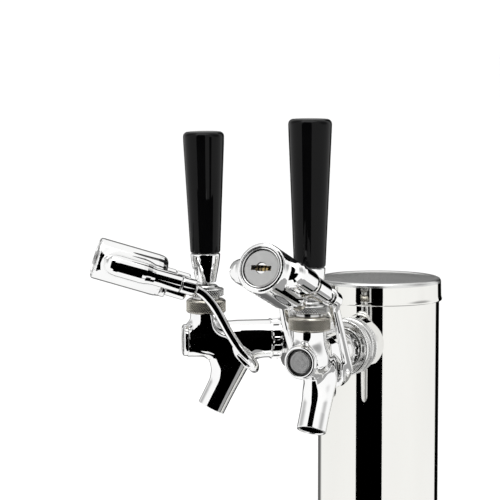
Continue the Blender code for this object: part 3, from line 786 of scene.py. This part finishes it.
def build_compression_ring(side, stem):
    radius = 11.0
    band = (28.3, 32.0)
    profile = [
        (6.3, 34.7), (6.9, 34.2), (7.5, 33.6), (8.4, 33.05), (9.4, 32.7), (10.4, 32.5),
        *band_rows(radius, *band),
        (10.5, 27.85), (8.3, 27.8), (8.3, 24.8), (5.5, 24.8), (5.5, 28.6), (4.95, 29.5),
        (4.95, 31.6), (5.35, 34.7),
    ]
    knurled_ring(f"{side}_ring_knurl", profile, stem, SILVER, radius, [band],
                 around=44, depth=0.75, slot="silver_knurl",
                 replaced=f"{side}_compression_ring")


def build_body(side, casting):
    base = FAUCET[side]
    shank = base @ ALONG_X
    stem = base @ shift(NECK_X, 0, 0)
    finished(f"{side}_body_casting", casting, base, CHROME, replaced=f"{side}_faucet_body")
    turned(f"{side}_body_collar", COLLAR, shank, CHROME,
           steps=216, edge=0.0, push=scallops, sharp=50)
    turned(f"{side}_escutcheon_disc", ESCUTCHEON, shank, CHROME,
           replaced=f"{side}_escutcheon", steps=192, edge=0.5)
    build_coupling(side, shank)
    build_nose(side, shank)
    build_bonnet(side, stem)
    build_compression_ring(side, stem)


# ---------------------------------------------------------------- lever
# Profiles are (radius, height above the pivot).

FERRULE = [
    (8.2, 26.9), (8.9, 26.7), (9.2, 26.1), (9.15, 24.8), (8.9, 22.4), (8.45, 19.6),
    (7.85, 16.6), (7.25, 13.8), (6.75, 11.4), (6.5, 10.0), (6.45, 9.3), (6.2, 8.85),
    (4.9, 8.85), (4.9, 26.9),
]
GRIP_FOOT = 54.8 - PIVOT_RISE  # 54.8 above the shank's axis


def build_lever(side):
    place = lever_frame(side)
    body = f"{side}_lever"
    turned(f"{side}_ferrule_cone", FERRULE, place, CHROME, body=body,
           replaced=f"{side}_ferrule", steps=160, edge=0.15, sharp=45)
    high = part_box(f"{side}_handle")[1]
    top = high.z / MM - SHANK_Z - PIVOT_RISE - GRIP_SHORT[side]
    grip = [
        (0, top - 0.1), (9.6, top - 0.1), (10.7, top - 0.25), (11.6, top - 0.75),
        (12.3, top - 1.5), (12.65, top - 2.4), (12.74, top - 3.4), (12.6, top - 8),
        (9.35, GRIP_FOOT + 1.0), (9.1, GRIP_FOOT + 0.35), (8.7, GRIP_FOOT),
        (4.9, GRIP_FOOT), (4.9, 45.5), (0, 47.0),
    ]
    turned(f"{side}_grip", grip, place, BLACK, slot="gloss_black", body=body,
           replaced=f"{side}_handle", steps=192, edge=0.15, sharp=45)


# ---------------------------------------------------------------- lock
# Outlines are (radius, distance outwards along the lock's axis).

LOCK_HEAD = [
    (0, 53.3), (11.6, 53.25), (12.4, 52.95), (12.8, 52.2), (12.95, 51), (12.95, 15.5),
    (12.7, 12.6), (11.9, 10.4), (10.4, 9.2), (0, 9),
]
SLEEVE_RADIUS = 5.45  # at the rear end
SLEEVE = [
    (0, 48.6), (2.4, 48.3), (4.2, 47.2), (5.5, 45.4), (6.2, 43.2), (6.5, 40.5), (6.5, 25),
    (6.3, 22.5), (5.7, 19.5), (SLEEVE_RADIUS, 17), (SLEEVE_RADIUS, 0.5),
]
STOP_SOCKET = [(0, 15.2), (6.85, 15.2), (6.85, 6.8), (6.3, 5.8), (0, 5.8)]
HEAD_HOLLOW = [(0, 60), (11.95, 60), (11.95, 50.9), (10.75, 50.9), (10.75, 25), (0, 25)]
BEZEL = [
    (10.8, 52.75), (10.95, 53.1), (11.2, 53.25), (11.42, 53.05), (11.5, 52.7),
    (11.5, 51.3), (10.8, 51.3),
]
STOP = [(0, 18.4), (5.2, 18.4), (5.2, -5.6), (5.05, -6.2), (4.5, -6.9), (3.7, -7.2), (0, -7.2)]

PLUG_RADIUS = 10.4
PLUG_STEPS = 96
PLUG_CHAMFER = 0.45
PLUG_FACE, PLUG_SHOULDER, PLUG_BOTTOM, KEYWAY_FLOOR = 52.3, 51.8, 29.0, 43.0
KEYWAY_LENGTH, KEYWAY_WIDTH, KEYWAY_HUB = 6.1, 1.4, 3.4  # half length, half width, radius

WAFER_Y = (-4.4, -2.2, 0.1, 2.2, 4.4)
WAFER_HALF = 0.72  # half of a wafer's thickness
WAFER_BEVEL = 0.14
# (X, distance outwards) from the wafer's foot
WAFER_OUTLINE = [
    (-1.2, 0.0), (-1.2, 3.6), (-0.9, 4.1), (-0.35, 4.25), (-0.2, 4.6), (0.25, 4.6),
    (0.4, 4.2), (0.9, 4.05), (1.2, 3.7), (1.2, 0.0),
]
POST_RADIUS, POST_FLAT = 3.2, 1.62  # the flat's distance from the axis
POST_FOOT, POST_BEVEL = 44.0, 0.2


def head_field(points, girth):
    """Lock head: a round housing and two side sleeves run together, then hollowed."""
    def lathe(x, y, outline):
        return lathe_field(points, (x, y, 0), Z_AXIS, outline)

    made = lathe(0, 0, [(r * girth, h) for r, h in LOCK_HEAD])
    sleeve = [(r * girth, h) for r, h in SLEEVE]
    sleeve += [(SLEEVE_RADIUS * girth - 0.4, 0.05), (0, 0.05)]
    for way in (-1, 1):
        made = blended(made, lathe(0, way * ARM_Y, sleeve), 5.0)
    bridge = box_field(points, (0, 0, 31.3), (4.0 * girth, 16.0, 12.2), 2.0)
    made = blended(made, bridge, 4.0)
    made = blended(made, lathe(STOP_DROP, 0, STOP_SOCKET), 1.6)
    for way in (-1, 1):
        made = minus(made, lathe(0, way * ARM_Y, block(0, 3.35, 24, -2)), 0.3)
    made = minus(made, lathe(0, 0, HEAD_HOLLOW), 0.5)
    return minus(made, lathe(STOP_DROP, 0, block(0, 5.5, 19, 4)), 0.3)


def build_housing(side):
    girth = LOCK_GIRTH[side]
    place = LOCK[side]
    body = f"{side}_lock"
    low, high = (-14.8 * girth, -22.9 * girth, -0.3), (14.8 * girth, 22.9 * girth, 53.6)
    shape = nets(lambda points: head_field(points, girth), low, high)
    finished(f"{side}_lock_housing", shape, place, CHROME, body=body,
             replaced=f"{side}_lock_head")
    turned(f"{side}_bezel_ring", BEZEL, place, CHROME, slot="satin_steel", body=body,
           replaced=f"{side}_lock_bezel", steps=160, edge=0.1)
    # painted shade: a dark ring in the gap between the bezel and the housing
    turned(f"{side}_bezel_groove_shade", block(11.55, 11.9, 52.2, 51.0), place, GAP_SHADE,
           slot="satin_steel", body=body, edge=0.05)
    turned(f"{side}_stop_barrel", STOP, place @ shift(STOP_DROP, 0, 0), CHROME, body=body,
           replaced=f"{side}_lock_stop", edge=0.3, sharp=50)


def keyway_outline():
    """A slot along Y with a round hub in its middle, anticlockwise."""
    reach = math.pi / 2 - math.asin(KEYWAY_WIDTH / KEYWAY_HUB)
    arc = [
        (KEYWAY_HUB * math.cos(t), KEYWAY_HUB * math.sin(t))
        for t in np.linspace(-reach, reach, 15)
    ]
    half = [(KEYWAY_WIDTH, -KEYWAY_LENGTH), *arc, (KEYWAY_WIDTH, KEYWAY_LENGTH)]
    return half + [(-x, -y) for x, y in half]


def plug_shape():
    """A disc with a chamfered rim and a keyway whose walls run down to a floor."""
    count = PLUG_STEPS
    rim = np.array([
        (PLUG_RADIUS * math.cos(a), PLUG_RADIUS * math.sin(a))
        for a in np.arange(count) / count * 2 * math.pi
    ])
    hole = np.array(keyway_outline())
    verts = []

    def row(points, z):
        first = len(verts)
        verts.extend((float(x), float(y), z) for x, y in points)
        return list(range(first, len(verts)))

    rim_top = row(rim * (1 - PLUG_CHAMFER / PLUG_RADIUS), PLUG_FACE)
    rim_side = row(rim, PLUG_SHOULDER)
    rim_low = row(rim, PLUG_BOTTOM)
    hole_top = row(hole, PLUG_FACE)
    hole_low = row(hole, KEYWAY_FLOOR)
    faces = []
    for a, b in ((rim_top, rim_side), (rim_side, rim_low)):
        faces += [(a[i], b[i], b[(i + 1) % count], a[(i + 1) % count]) for i in range(count)]
    faces.append(tuple(reversed(rim_low)))
    sides = len(hole)
    for i in range(sides):
        j = (i + 1) % sides
        faces.append((hole_top[i], hole_top[j], hole_low[j], hole_low[i]))
    faces.append(tuple(hole_low))

    # the face round the keyway, stitched by angle
    rim_turn = np.unwrap(np.arctan2(rim[:, 1], rim[:, 0]))
    hole_turn = np.unwrap(np.arctan2(hole[:, 1], hole[:, 0]))
    start = int(np.argmin(np.abs(np.angle(np.exp(1j * (rim_turn - hole_turn[0]))))))
    order = [(start + m) % count for m in range(count + 1)]
    outer = [rim_top[m] for m in order]
    outer_turn = np.unwrap(rim_turn[order])
    lead = np.angle(np.exp(1j * (outer_turn[0] - hole_turn[0])))
    outer_turn = outer_turn - outer_turn[0] + lead
    inner_turn = np.append(hole_turn, hole_turn[0] + 2 * math.pi) - hole_turn[0]
    inner = hole_top + [hole_top[0]]
    i, j = 0, 0
    while i < count or j < sides:
        if j >= sides or (i < count and outer_turn[i + 1] <= inner_turn[j + 1]):
            faces.append((outer[i], outer[i + 1], inner[j]))
            i += 1
        else:
            faces.append((outer[i], inner[j + 1], inner[j]))
            j += 1
    return verts, faces


def wafer_shape(n):
    """A thin plate across the keyway with bevelled edges, every other one mirrored."""
    outline = np.array([(x if n % 2 else -x, z) for x, z in WAFER_OUTLINE])
    small = shrunk(outline, 0.9)
    foot = 45.3 - 0.35 * ((n * 2) % 3) - 0.3 * abs(n - 2)
    flat = WAFER_HALF - WAFER_BEVEL
    stations = ((small, -WAFER_HALF), (outline, -flat), (outline, flat), (small, WAFER_HALF))
    return lofted([[(x, WAFER_Y[n] + y, foot + z) for x, z in ring] for ring, y in stations])


def post_shape(way):
    """Half of the round hub in the keyway, with a flat towards the axis and a bevelled top."""
    half = math.acos(POST_FLAT / POST_RADIUS)
    outline = np.array([
        (way * POST_RADIUS * math.cos(t), POST_RADIUS * math.sin(t))
        for t in np.linspace(-half, half, 17)
    ])
    top = 51.5 if way < 0 else 51.7
    stations = ((outline, POST_FOOT), (outline, top - POST_BEVEL), (shrunk(outline, 0.86), top))
    return lofted([[(x, y, z) for x, y in ring] for ring, z in stations])


def build_plug(side):
    place = LOCK[side]
    body = f"{side}_lock_plug"
    finished(f"{side}_plug_disc", plug_shape(), place, SATIN, slot="satin_steel", body=body,
             replaced=f"{side}_lock_plug", sharp=30)
    # painted shade: a dark ring in the gap between the plug and the bezel
    turned(f"{side}_plug_groove_shade", block(10.43, 10.72, 51.4, 50.95), place, GAP_SHADE,
           slot="satin_steel", body=body, edge=0.05)
    for n in range(len(WAFER_Y)):
        finished(f"{side}_wafer_{n}", wafer_shape(n), place, BRASS if n in (2, 3) else WAFER,
                 slot="brass", body=body, sharp=30)
    for n, way in enumerate((1, -1)):
        finished(f"{side}_plug_hub_{n}", post_shape(way), place, CHROME, body=body, sharp=40)


# ---------------------------------------------------------------- bail

BAR_RADIUS = 2.8
LIP_RADIUS = 1.6
# Points (x, y, z) in the faucet's frame, down one arm and in to the middle under the barrel
BAIL_RISE = [(115.5, 16.4, 32.0), (110.6, 16.6, 27.2)]  # only where the arm starts far out
BAIL = [
    (106.0, 16.8, 20.8), (98.6, 16.7, 7.4), (91.6, 16.2, -3.4), (87.2, 15.2, -8.2),
    (83.8, 12.6, -11.6), (81.2, 9.6, -15.0), (80.2, 5.2, -17.8), (79.7, 0.0, -18.8),
]
LIP = [(94.0, 14.4, -3.6), (92.2, 13.6, -8.2), (87.0, 11.4, -14.4), (82.4, 8.2, -17.4)]
# (radius, distance along the lock's axis from the boss's outer end)
BOSS = [
    (0, 0), (4.6, 0), (5.1, -0.4), (5.2, -1.0), (5.2, -8.0), (5.0, -8.8), (4.4, -9.2), (0, -9.2),
]


def smooth_path(points, fine=4):
    """A Catmull-Rom curve through the points."""
    p = np.array(points)
    p = np.vstack([2 * p[0] - p[1], p, 2 * p[-1] - p[-2]])
    made = []
    for i in range(1, len(p) - 2):
        before, here, on, after = p[i - 1:i + 3]
        for t in np.arange(fine) / fine:
            made.append(0.5 * (
                2 * here + (on - before) * t
                + (2 * before - 5 * here + 4 * on - after) * t * t
                + (3 * here - before - 3 * on + after) * t ** 3
            ))
    made.append(p[-2])
    return np.array(made)


def build_bail(side):
    """A bar under the barrel, with an arm, a boss and a pin up each side to the lock."""
    base = FAUCET[side]
    lock = base.inverted() @ LOCK[side]
    rear = np.array(lock.translation) / MM
    along = np.array(lock.col[2])[:3]
    back = BOSS_BACK[side]
    start = rear - along * (back + 5.5)
    half = np.array([
        (start[0], ARM_Y, start[2]),
        *(BAIL_RISE if start[0] > 118 else []),
        *BAIL,
    ])
    path = smooth_path(np.vstack([half, half[-2::-1] * (1, -1, 1)]))
    path = path[: len(path) // 2 + 2]
    lips = smooth_path(LIP)
    centre = rear + np.array((0, ARM_Y, 0))
    boss_outline = [(r, h - back) for r, h in BOSS]
    pin_outline = [(0, 20), (2.4, 20), (3.0, 19.2), (3.0, -back - 1), (0, -back - 1)]

    def field(points):
        folded = points.copy()
        folded[:, 1] = np.abs(folded[:, 1])
        made = chain_field(folded, path, BAR_RADIUS)
        made = blended(made, chain_field(folded, lips, LIP_RADIUS), 1.8)
        made = blended(made, lathe_field(folded, centre, along, boss_outline), 2.2)
        return blended(made, lathe_field(folded, centre, along, pin_outline), 0.3)

    reach = rear + along * 20.5
    high = (reach[0] + 2.0, 21.6, max(reach[2] + 3.5, rear[2] + 8))
    shape = nets(field, (76.6, -21.6, -22.0), high)
    finished(f"{side}_bail_bar", shape, base, CHROME, replaced=f"{side}_lock_bail")


# ---------------------------------------------------------------- build

stand = Matrix.Translation(AXIS)
build_column(stand)
build_cap(stand)
build_foot(stand)
casting = nets(casting_field, (58.5, -13.2, -47.5), (123.0, 13.2, 24.0))
for side in SIDES:
    build_body(side, casting)
    build_lever(side)
    build_housing(side)
    build_plug(side)
    build_bail(side)

# carried-over nodes, mostly out of sight, get their own materials
CARRIED = {
    "base_gasket": RUBBER, "insulation_sleeve": FOAM, "shank": CHROME, "beer_line": VINYL,
    "hose_clamp": STEEL, "shank_nut": BRASS, "shank_washer": NYLON, "coupling_gasket": RUBBER,
    "ball_washer": NYLON, "shaft": STEEL, "seat_washer": RUBBER, "lever": STEEL,
}
for name, obj in frame["nodes"].items():
    plain = name.replace("left_", "").replace("right_", "")
    if plain in CARRIED:
        for slot in obj.material_slots:
            slot.material = CARRIED[plain]


# ---------------------------------------------------------------- stage
# In metres. Azimuths are in degrees, from -Y towards +X.

CAMERA_AZIMUTH = 49.5
FLOOR_HALF, FLOOR_Z = 40, -0.0003


def compass(azimuth):
    """The X and Y of a level unit vector at an azimuth."""
    angle = math.radians(azimuth)
    return math.sin(angle), -math.cos(angle)


def stage_object(name, verts, faces, mat):
    mesh = bpy.data.meshes.new(name)
    mesh.from_pydata(verts, [], faces)
    mesh.materials.append(mat)
    obj = bpy.data.objects.new(name, mesh)
    bpy.context.scene.collection.objects.link(obj)
    return obj


def build_floor():
    mat, tree, shader = nodes_for("floor")
    feed(tree, shader, {"Base Color": (*grey(0.97), 1), "Roughness": 0.75})
    corners = ((-1, -1), (1, -1), (1, 1), (-1, 1))
    verts = [(x * FLOOR_HALF, y * FLOOR_HALF, FLOOR_Z) for x, y in corners]
    floor = stage_object("floor", verts, [(0, 1, 2, 3)], mat)
    floor.visible_glossy = False


def card(name, verts, faces, level=0.0, slant=None):
    """A flat-grey card that only polished metal shows.

    With a slant, it shows only to rays that meet its front and travel along the slant.
    """
    mat, tree, shader = nodes_for(name)
    tree.nodes.remove(shader)
    shown = add_node(tree, "Emission", {"Color": (*grey(level), 1)})
    clear = add_node(tree, "BsdfTransparent")
    either = add_node(tree, "MixShader", {
        "Fac": 0.0, 1: shown.outputs["Emission"], 2: clear.outputs["BSDF"],
    })
    if slant:
        facing = add_node(tree, "NewGeometry").outputs
        across = add_node(tree, "VectorMath", {0: facing["Incoming"], 1: slant},
                          operation="DOT_PRODUCT")
        passed = add_node(tree, "Math", {0: across.outputs["Value"], 1: 0.0},
                          operation="GREATER_THAN")
        most = add_node(tree, "Math", {0: facing["Backfacing"], 1: passed.outputs[0]},
                        operation="MAXIMUM")
        feed(tree, either, {"Fac": most.outputs[0]})
    feed(tree, tree.nodes["Material Output"], {"Surface": either.outputs["Shader"]})
    obj = stage_object(name, verts, faces, mat)
    obj.visible_camera = False
    obj.visible_diffuse = False
    obj.visible_shadow = False
    obj.visible_transmission = False


def bent_card(name, start, end, edges, count, winding, level=0.0):
    """A card round the column between two azimuths; edges are two (radius, z) pairs."""
    verts = []
    for n in range(count + 1):
        x, y = compass(start + (end - start) * n / count)
        verts += [(AXIS.x + radius * x, AXIS.y + radius * y, z) for radius, z in edges]
    faces = [tuple(2 * n + corner for corner in winding) for n in range(count)]
    card(name, verts, faces, level)


def build_left_flag():
    """A dark card beside the left faucet, in its X-Z plane."""
    place = FAUCET["left"]
    across = 60.0
    # (x, z) in the faucet's frame
    outline = [(45, -290), (150, -290), (150, -12), (114, 27), (190, 27), (190, 80), (45, 80)]
    slant = Vector(place.col[1][:3]) - 0.7 * Vector(place.col[0][:3])
    verts = [place @ Vector((x * MM, across * MM, z * MM)) for x, z in outline]
    card("flag_left", verts, [tuple(range(len(verts)))], slant=tuple(slant))


build_floor()
UPRIGHT = dict(count=24, winding=(0, 2, 3, 1))
bent_card("flag_front", start=9.3, end=57.1, edges=((1.1, -1.5), (1.1, 1.9)), **UPRIGHT)
bent_card("flag_back", start=188.0, end=213.0, edges=((1.3, -1.5), (1.3, 1.6)), **UPRIGHT)
# a sector lying on the counter
bent_card("grey_right", start=62.0, end=175.0, edges=((0.09, 0.0005), (0.50, 0.0005)),
          count=20, winding=(0, 1, 3, 2), level=0.38)
build_left_flag()


# ---------------------------------------------------------------- world, light, camera

def heading(azimuth, rise, level=1.0):
    x, y = compass(azimuth)
    return x * level, y * level, rise


def elevated(azimuth, elevation):
    angle = math.radians(elevation)
    return heading(azimuth, rise=math.sin(angle), level=math.cos(angle))


# (direction, stops); stops are (degrees from the direction, grey)
SKY = (
    (heading(CAMERA_AZIMUTH + 180, rise=-0.13),
     [(0, 0.45), (10, 0.32), (22, 0.12), (34, 0.14), (43, 0.95), (180, 1.0)]),
    (heading(-142, rise=0.1), [(0, 0.80), (14, 0.80), (22, 1.0), (180, 1.0)]),
    (elevated(-70, 36), [(0, 0.36), (20, 0.48), (32, 0.90), (37, 1.0), (180, 1.0)]),
    (elevated(136, 27), [(0, 0.30), (16, 0.42), (27, 0.88), (33, 1.0), (180, 1.0)]),
)


def sky_patch(tree, coord, direction, stops):
    """A grey that depends on the angle from a direction."""
    dot = add_node(tree, "VectorMath", {
        0: coord.outputs["Generated"], 1: Vector(direction).normalized(),
    }, operation="DOT_PRODUCT")
    angle = add_node(tree, "Math", {0: dot.outputs["Value"]}, operation="ARCCOSINE")
    scaled = add_node(tree, "Math", {0: angle.outputs[0], 1: math.pi}, operation="DIVIDE")
    ramp = add_node(tree, "ValToRGB", {"Fac": scaled.outputs[0]})
    elements = ramp.color_ramp.elements
    while len(elements) < len(stops):
        elements.new(0.5)
    for element, (degrees, level) in zip(elements, stops):
        element.position = degrees / 180
        element.color = (*grey(level), 1)
    return ramp.outputs["Color"]


def build_world():
    """White all round, with dimmer patches that only polished metal shows."""
    world = bpy.data.worlds.new("studio")
    world.use_nodes = True
    bpy.context.scene.world = world
    tree = world.node_tree
    coord = add_node(tree, "TexCoord")
    sky, *others = [sky_patch(tree, coord, *patch) for patch in SKY]
    for patch in others:
        product = add_node(tree, "Mix", data_type="RGBA", blend_type="MULTIPLY")
        feed(tree, product, {"Factor": 1.0, "A": sky, "B": patch})
        sky = product.outputs["Result"]
    path = add_node(tree, "LightPath")
    inputs = {"A": (1.0, 1.0, 0.997, 1), "Factor": path.outputs["Is Glossy Ray"], "B": sky}
    pick = add_node(tree, "Mix", inputs, data_type="RGBA")
    feed(tree, tree.nodes["Background"], {"Strength": 1.1, "Color": pick.outputs["Result"]})


def build_light():
    at, aim = Vector((0.2, -0.4, 2.2)), Vector((0, 0, 0.3))
    light = bpy.data.lights.new("top_light", "AREA")
    light.shape = "RECTANGLE"
    light.size = light.size_y = 1.6
    light.energy = 14.0
    obj = bpy.data.objects.new("top_light", light)
    bpy.context.scene.collection.objects.link(obj)
    obj.location = at
    obj.rotation_euler = (aim - at).to_track_quat("-Z", "Y").to_euler()


def build_camera():
    tilt = math.radians(-5.7)
    distance, height = 1.350, 0.4815  # from the column's axis, above the counter
    off_centre = 0.06  # how far aside the column's axis shows, as a share of the focal length
    x, y = compass(CAMERA_AZIMUTH)
    yaw = math.atan(off_centre / math.cos(tilt))
    level = Matrix.Rotation(yaw, 3, "Z") @ Vector((-x, -y, 0))
    forward = Vector((level.x * math.cos(tilt), level.y * math.cos(tilt), math.sin(tilt)))
    right = Vector((level.y, -level.x, 0)).normalized()
    lens = bpy.data.cameras.new("camera")
    lens.sensor_width = 36.0
    lens.lens = 154.8
    lens.clip_start, lens.clip_end = 0.05, 200
    camera = bpy.data.objects.new("camera", lens)
    bpy.context.scene.collection.objects.link(camera)
    place = (AXIS.x + distance * x, AXIS.y + distance * y, height)
    camera.matrix_world = basis(place, right, right.cross(forward), -forward)
    bpy.context.scene.camera = camera


build_world()
build_light()
bpy.context.scene.view_settings.view_transform = "Standard"
build_camera()
